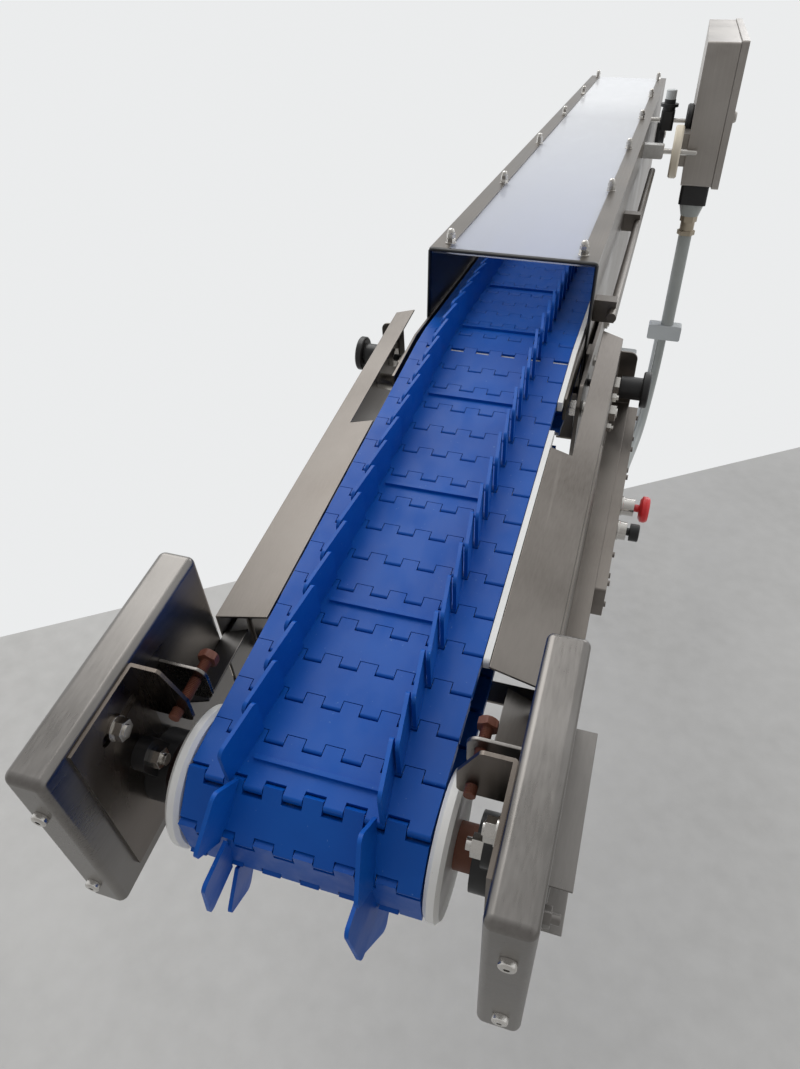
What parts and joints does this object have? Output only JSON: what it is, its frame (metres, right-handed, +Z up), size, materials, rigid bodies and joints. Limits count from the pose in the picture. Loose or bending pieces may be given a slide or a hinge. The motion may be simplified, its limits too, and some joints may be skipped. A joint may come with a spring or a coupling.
{
  "type": "belt conveyor section",
  "caption": "Modular belt conveyor section with side guards, a hooded level length and a short tilting end.",
  "frame": {"origin": "centre of the four foot holes, at the underside of the hooded length's feet", "axes": "+X across the belt toward the control cabinet, +Y along the belt from the tilting end to the drive end, +Z up"},
  "size_m": [0.596, 3.2872, 1.0324],
  "materials": {
    "stainless": "folded stainless sheet with a fine brushed grain and rounded bright edges",
    "bright_steel": "bright stainless bolts, shafts and bezels",
    "belt_plastic": "blue moulded belt plastic, smooth with a soft shine",
    "white_plastic": "white low-friction plastic, slightly waxy",
    "black_plastic": "black moulded plastic",
    "red_plastic": "red moulded push head",
    "rusty_steel": "plain steel gone red-brown with rust",
    "clear_panel": "clear plastic panel, slightly milky",
    "painted_drive": "grey painted gear motor",
    "cast_clamp": "plain cast clamp metal",
    "cream_plastic": "cream plastic disc",
    "grey_plastic": "grey plastic pipe and conduit",
    "light_grey_plastic": "light grey plastic",
    "gland_brass": "dull plated brass gland"
  },
  "bodies": {
    "root": {"hood_belt_top": "belt_plastic", "drive_belt_nose": "belt_plastic", "hood_belt_return": "belt_plastic", "hood_belt_rods": "white_plastic", "hood_side_right": "stainless", "hood_side_left": "stainless", "hood_window": "clear_panel", "hood_wear_strips": "white_plastic", "hood_edge_strips": "white_plastic", "hood_carry_frame": "stainless", "pivot_cheeks": "stainless", "drive_bearings": "black_plastic", "gear_motor": "painted_drive", "support_tube": "stainless", "clamp_block": "cast_clamp", "swivel_rods": "bright_steel", "swivel_disc": "cream_plastic", "back_disc": "black_plastic", "sensor_body": "black_plastic", "sensor_cap": "grey_plastic", "cabinet_body": "stainless", "cable_collar": "black_plastic", "cable_gland": "gland_brass", "cable_pipe": "grey_plastic", "cable_boxes": "light_grey_plastic", "cable_conduit": "grey_plastic", "cable_hose": "light_grey_plastic", "hood_bolts": "bright_steel"},
    "near_section": {"near_belt_top": "belt_plastic", "near_belt_nose": "belt_plastic", "near_belt_return": "belt_plastic", "near_belt_rods": "white_plastic", "near_side_right": "stainless", "near_side_left": "stainless", "near_carry_frame": "stainless", "near_wear_strips": "white_plastic", "near_edge_strips": "white_plastic", "pivot_bolts": "bright_steel", "end_covers": "stainless", "bearing_brackets": "stainless", "idler_bearings": "black_plastic", "end_walls": "stainless", "box_side_plate": "stainless", "plunger_nuts": "bright_steel", "panel_lid": "stainless", "button_bezels": "bright_steel", "near_bolts": "bright_steel"},
    "idler": {"idler_shaft": "bright_steel", "idler_sprockets": "white_plastic", "guide_discs": "white_plastic", "shaft_collars": "rusty_steel"},
    "drive": {"drive_shaft": "bright_steel", "drive_sprockets": "white_plastic"},
    "plunger_r": {"plunger_right": "black_plastic"},
    "plunger_l": {"plunger_left": "black_plastic"},
    "take_up_r": {"take_up_screw_right": "rusty_steel"},
    "take_up_l": {"take_up_screw_left": "rusty_steel"},
    "stop_button": {"stop_mushroom": "red_plastic"},
    "push_button": {"push_cap": "black_plastic"},
    "door": {"cabinet_door": "stainless"}
  },
  "joints": [
    {"name": "near_tilt", "type": "hinge", "parent": "root", "child": "near_section", "pos_m": [0, -1.165, 0.115], "axis": [1, 0, 0], "range_deg": [0, 9]},
    {"name": "idler_spin", "type": "hinge", "parent": "near_section", "child": "idler", "pos_m": [0, -1.8951, 0.00937], "axis": [1, 0, 0], "continuous": true},
    {"name": "drive_spin", "type": "hinge", "parent": "root", "child": "drive", "pos_m": [0, 1.133, 0.13268], "axis": [1, 0, 0], "continuous": true},
    {"name": "plunger_right_pull", "type": "slide", "parent": "near_section", "child": "plunger_r", "axis": [1, 0, 0], "range_m": [0, 0.014], "stiffness_N_per_m": 1200, "springref_m": -0.004},
    {"name": "plunger_left_pull", "type": "slide", "parent": "near_section", "child": "plunger_l", "axis": [-1, 0, 0], "range_m": [0, 0.014], "stiffness_N_per_m": 1200, "springref_m": -0.004},
    {"name": "take_up_right_turn", "type": "hinge", "parent": "near_section", "child": "take_up_r", "pos_m": [0.146, -1.87456, 0.10731], "axis": [0, 0.9868, 0.1621], "continuous": true},
    {"name": "take_up_left_turn", "type": "hinge", "parent": "near_section", "child": "take_up_l", "pos_m": [-0.146, -1.87456, 0.10731], "axis": [0, 0.9868, 0.1621], "continuous": true},
    {"name": "stop_press", "type": "slide", "parent": "near_section", "child": "stop_button", "axis": [-1, 0, 0], "range_m": [0, 0.005], "stiffness_N_per_m": 600, "springref_m": -0.003},
    {"name": "push_press", "type": "slide", "parent": "near_section", "child": "push_button", "axis": [-1, 0, 0], "range_m": [0, 0.003], "stiffness_N_per_m": 600, "springref_m": -0.003},
    {"name": "door_open", "type": "hinge", "parent": "root", "child": "door", "pos_m": [0.318, 0.887, 0.3455], "axis": [0, 0, 1], "range_deg": [0, 100]}
  ],
  "couplings": [
    {"joint": "idler_spin", "follows": "drive_spin", "ratio": 1}
  ]
}
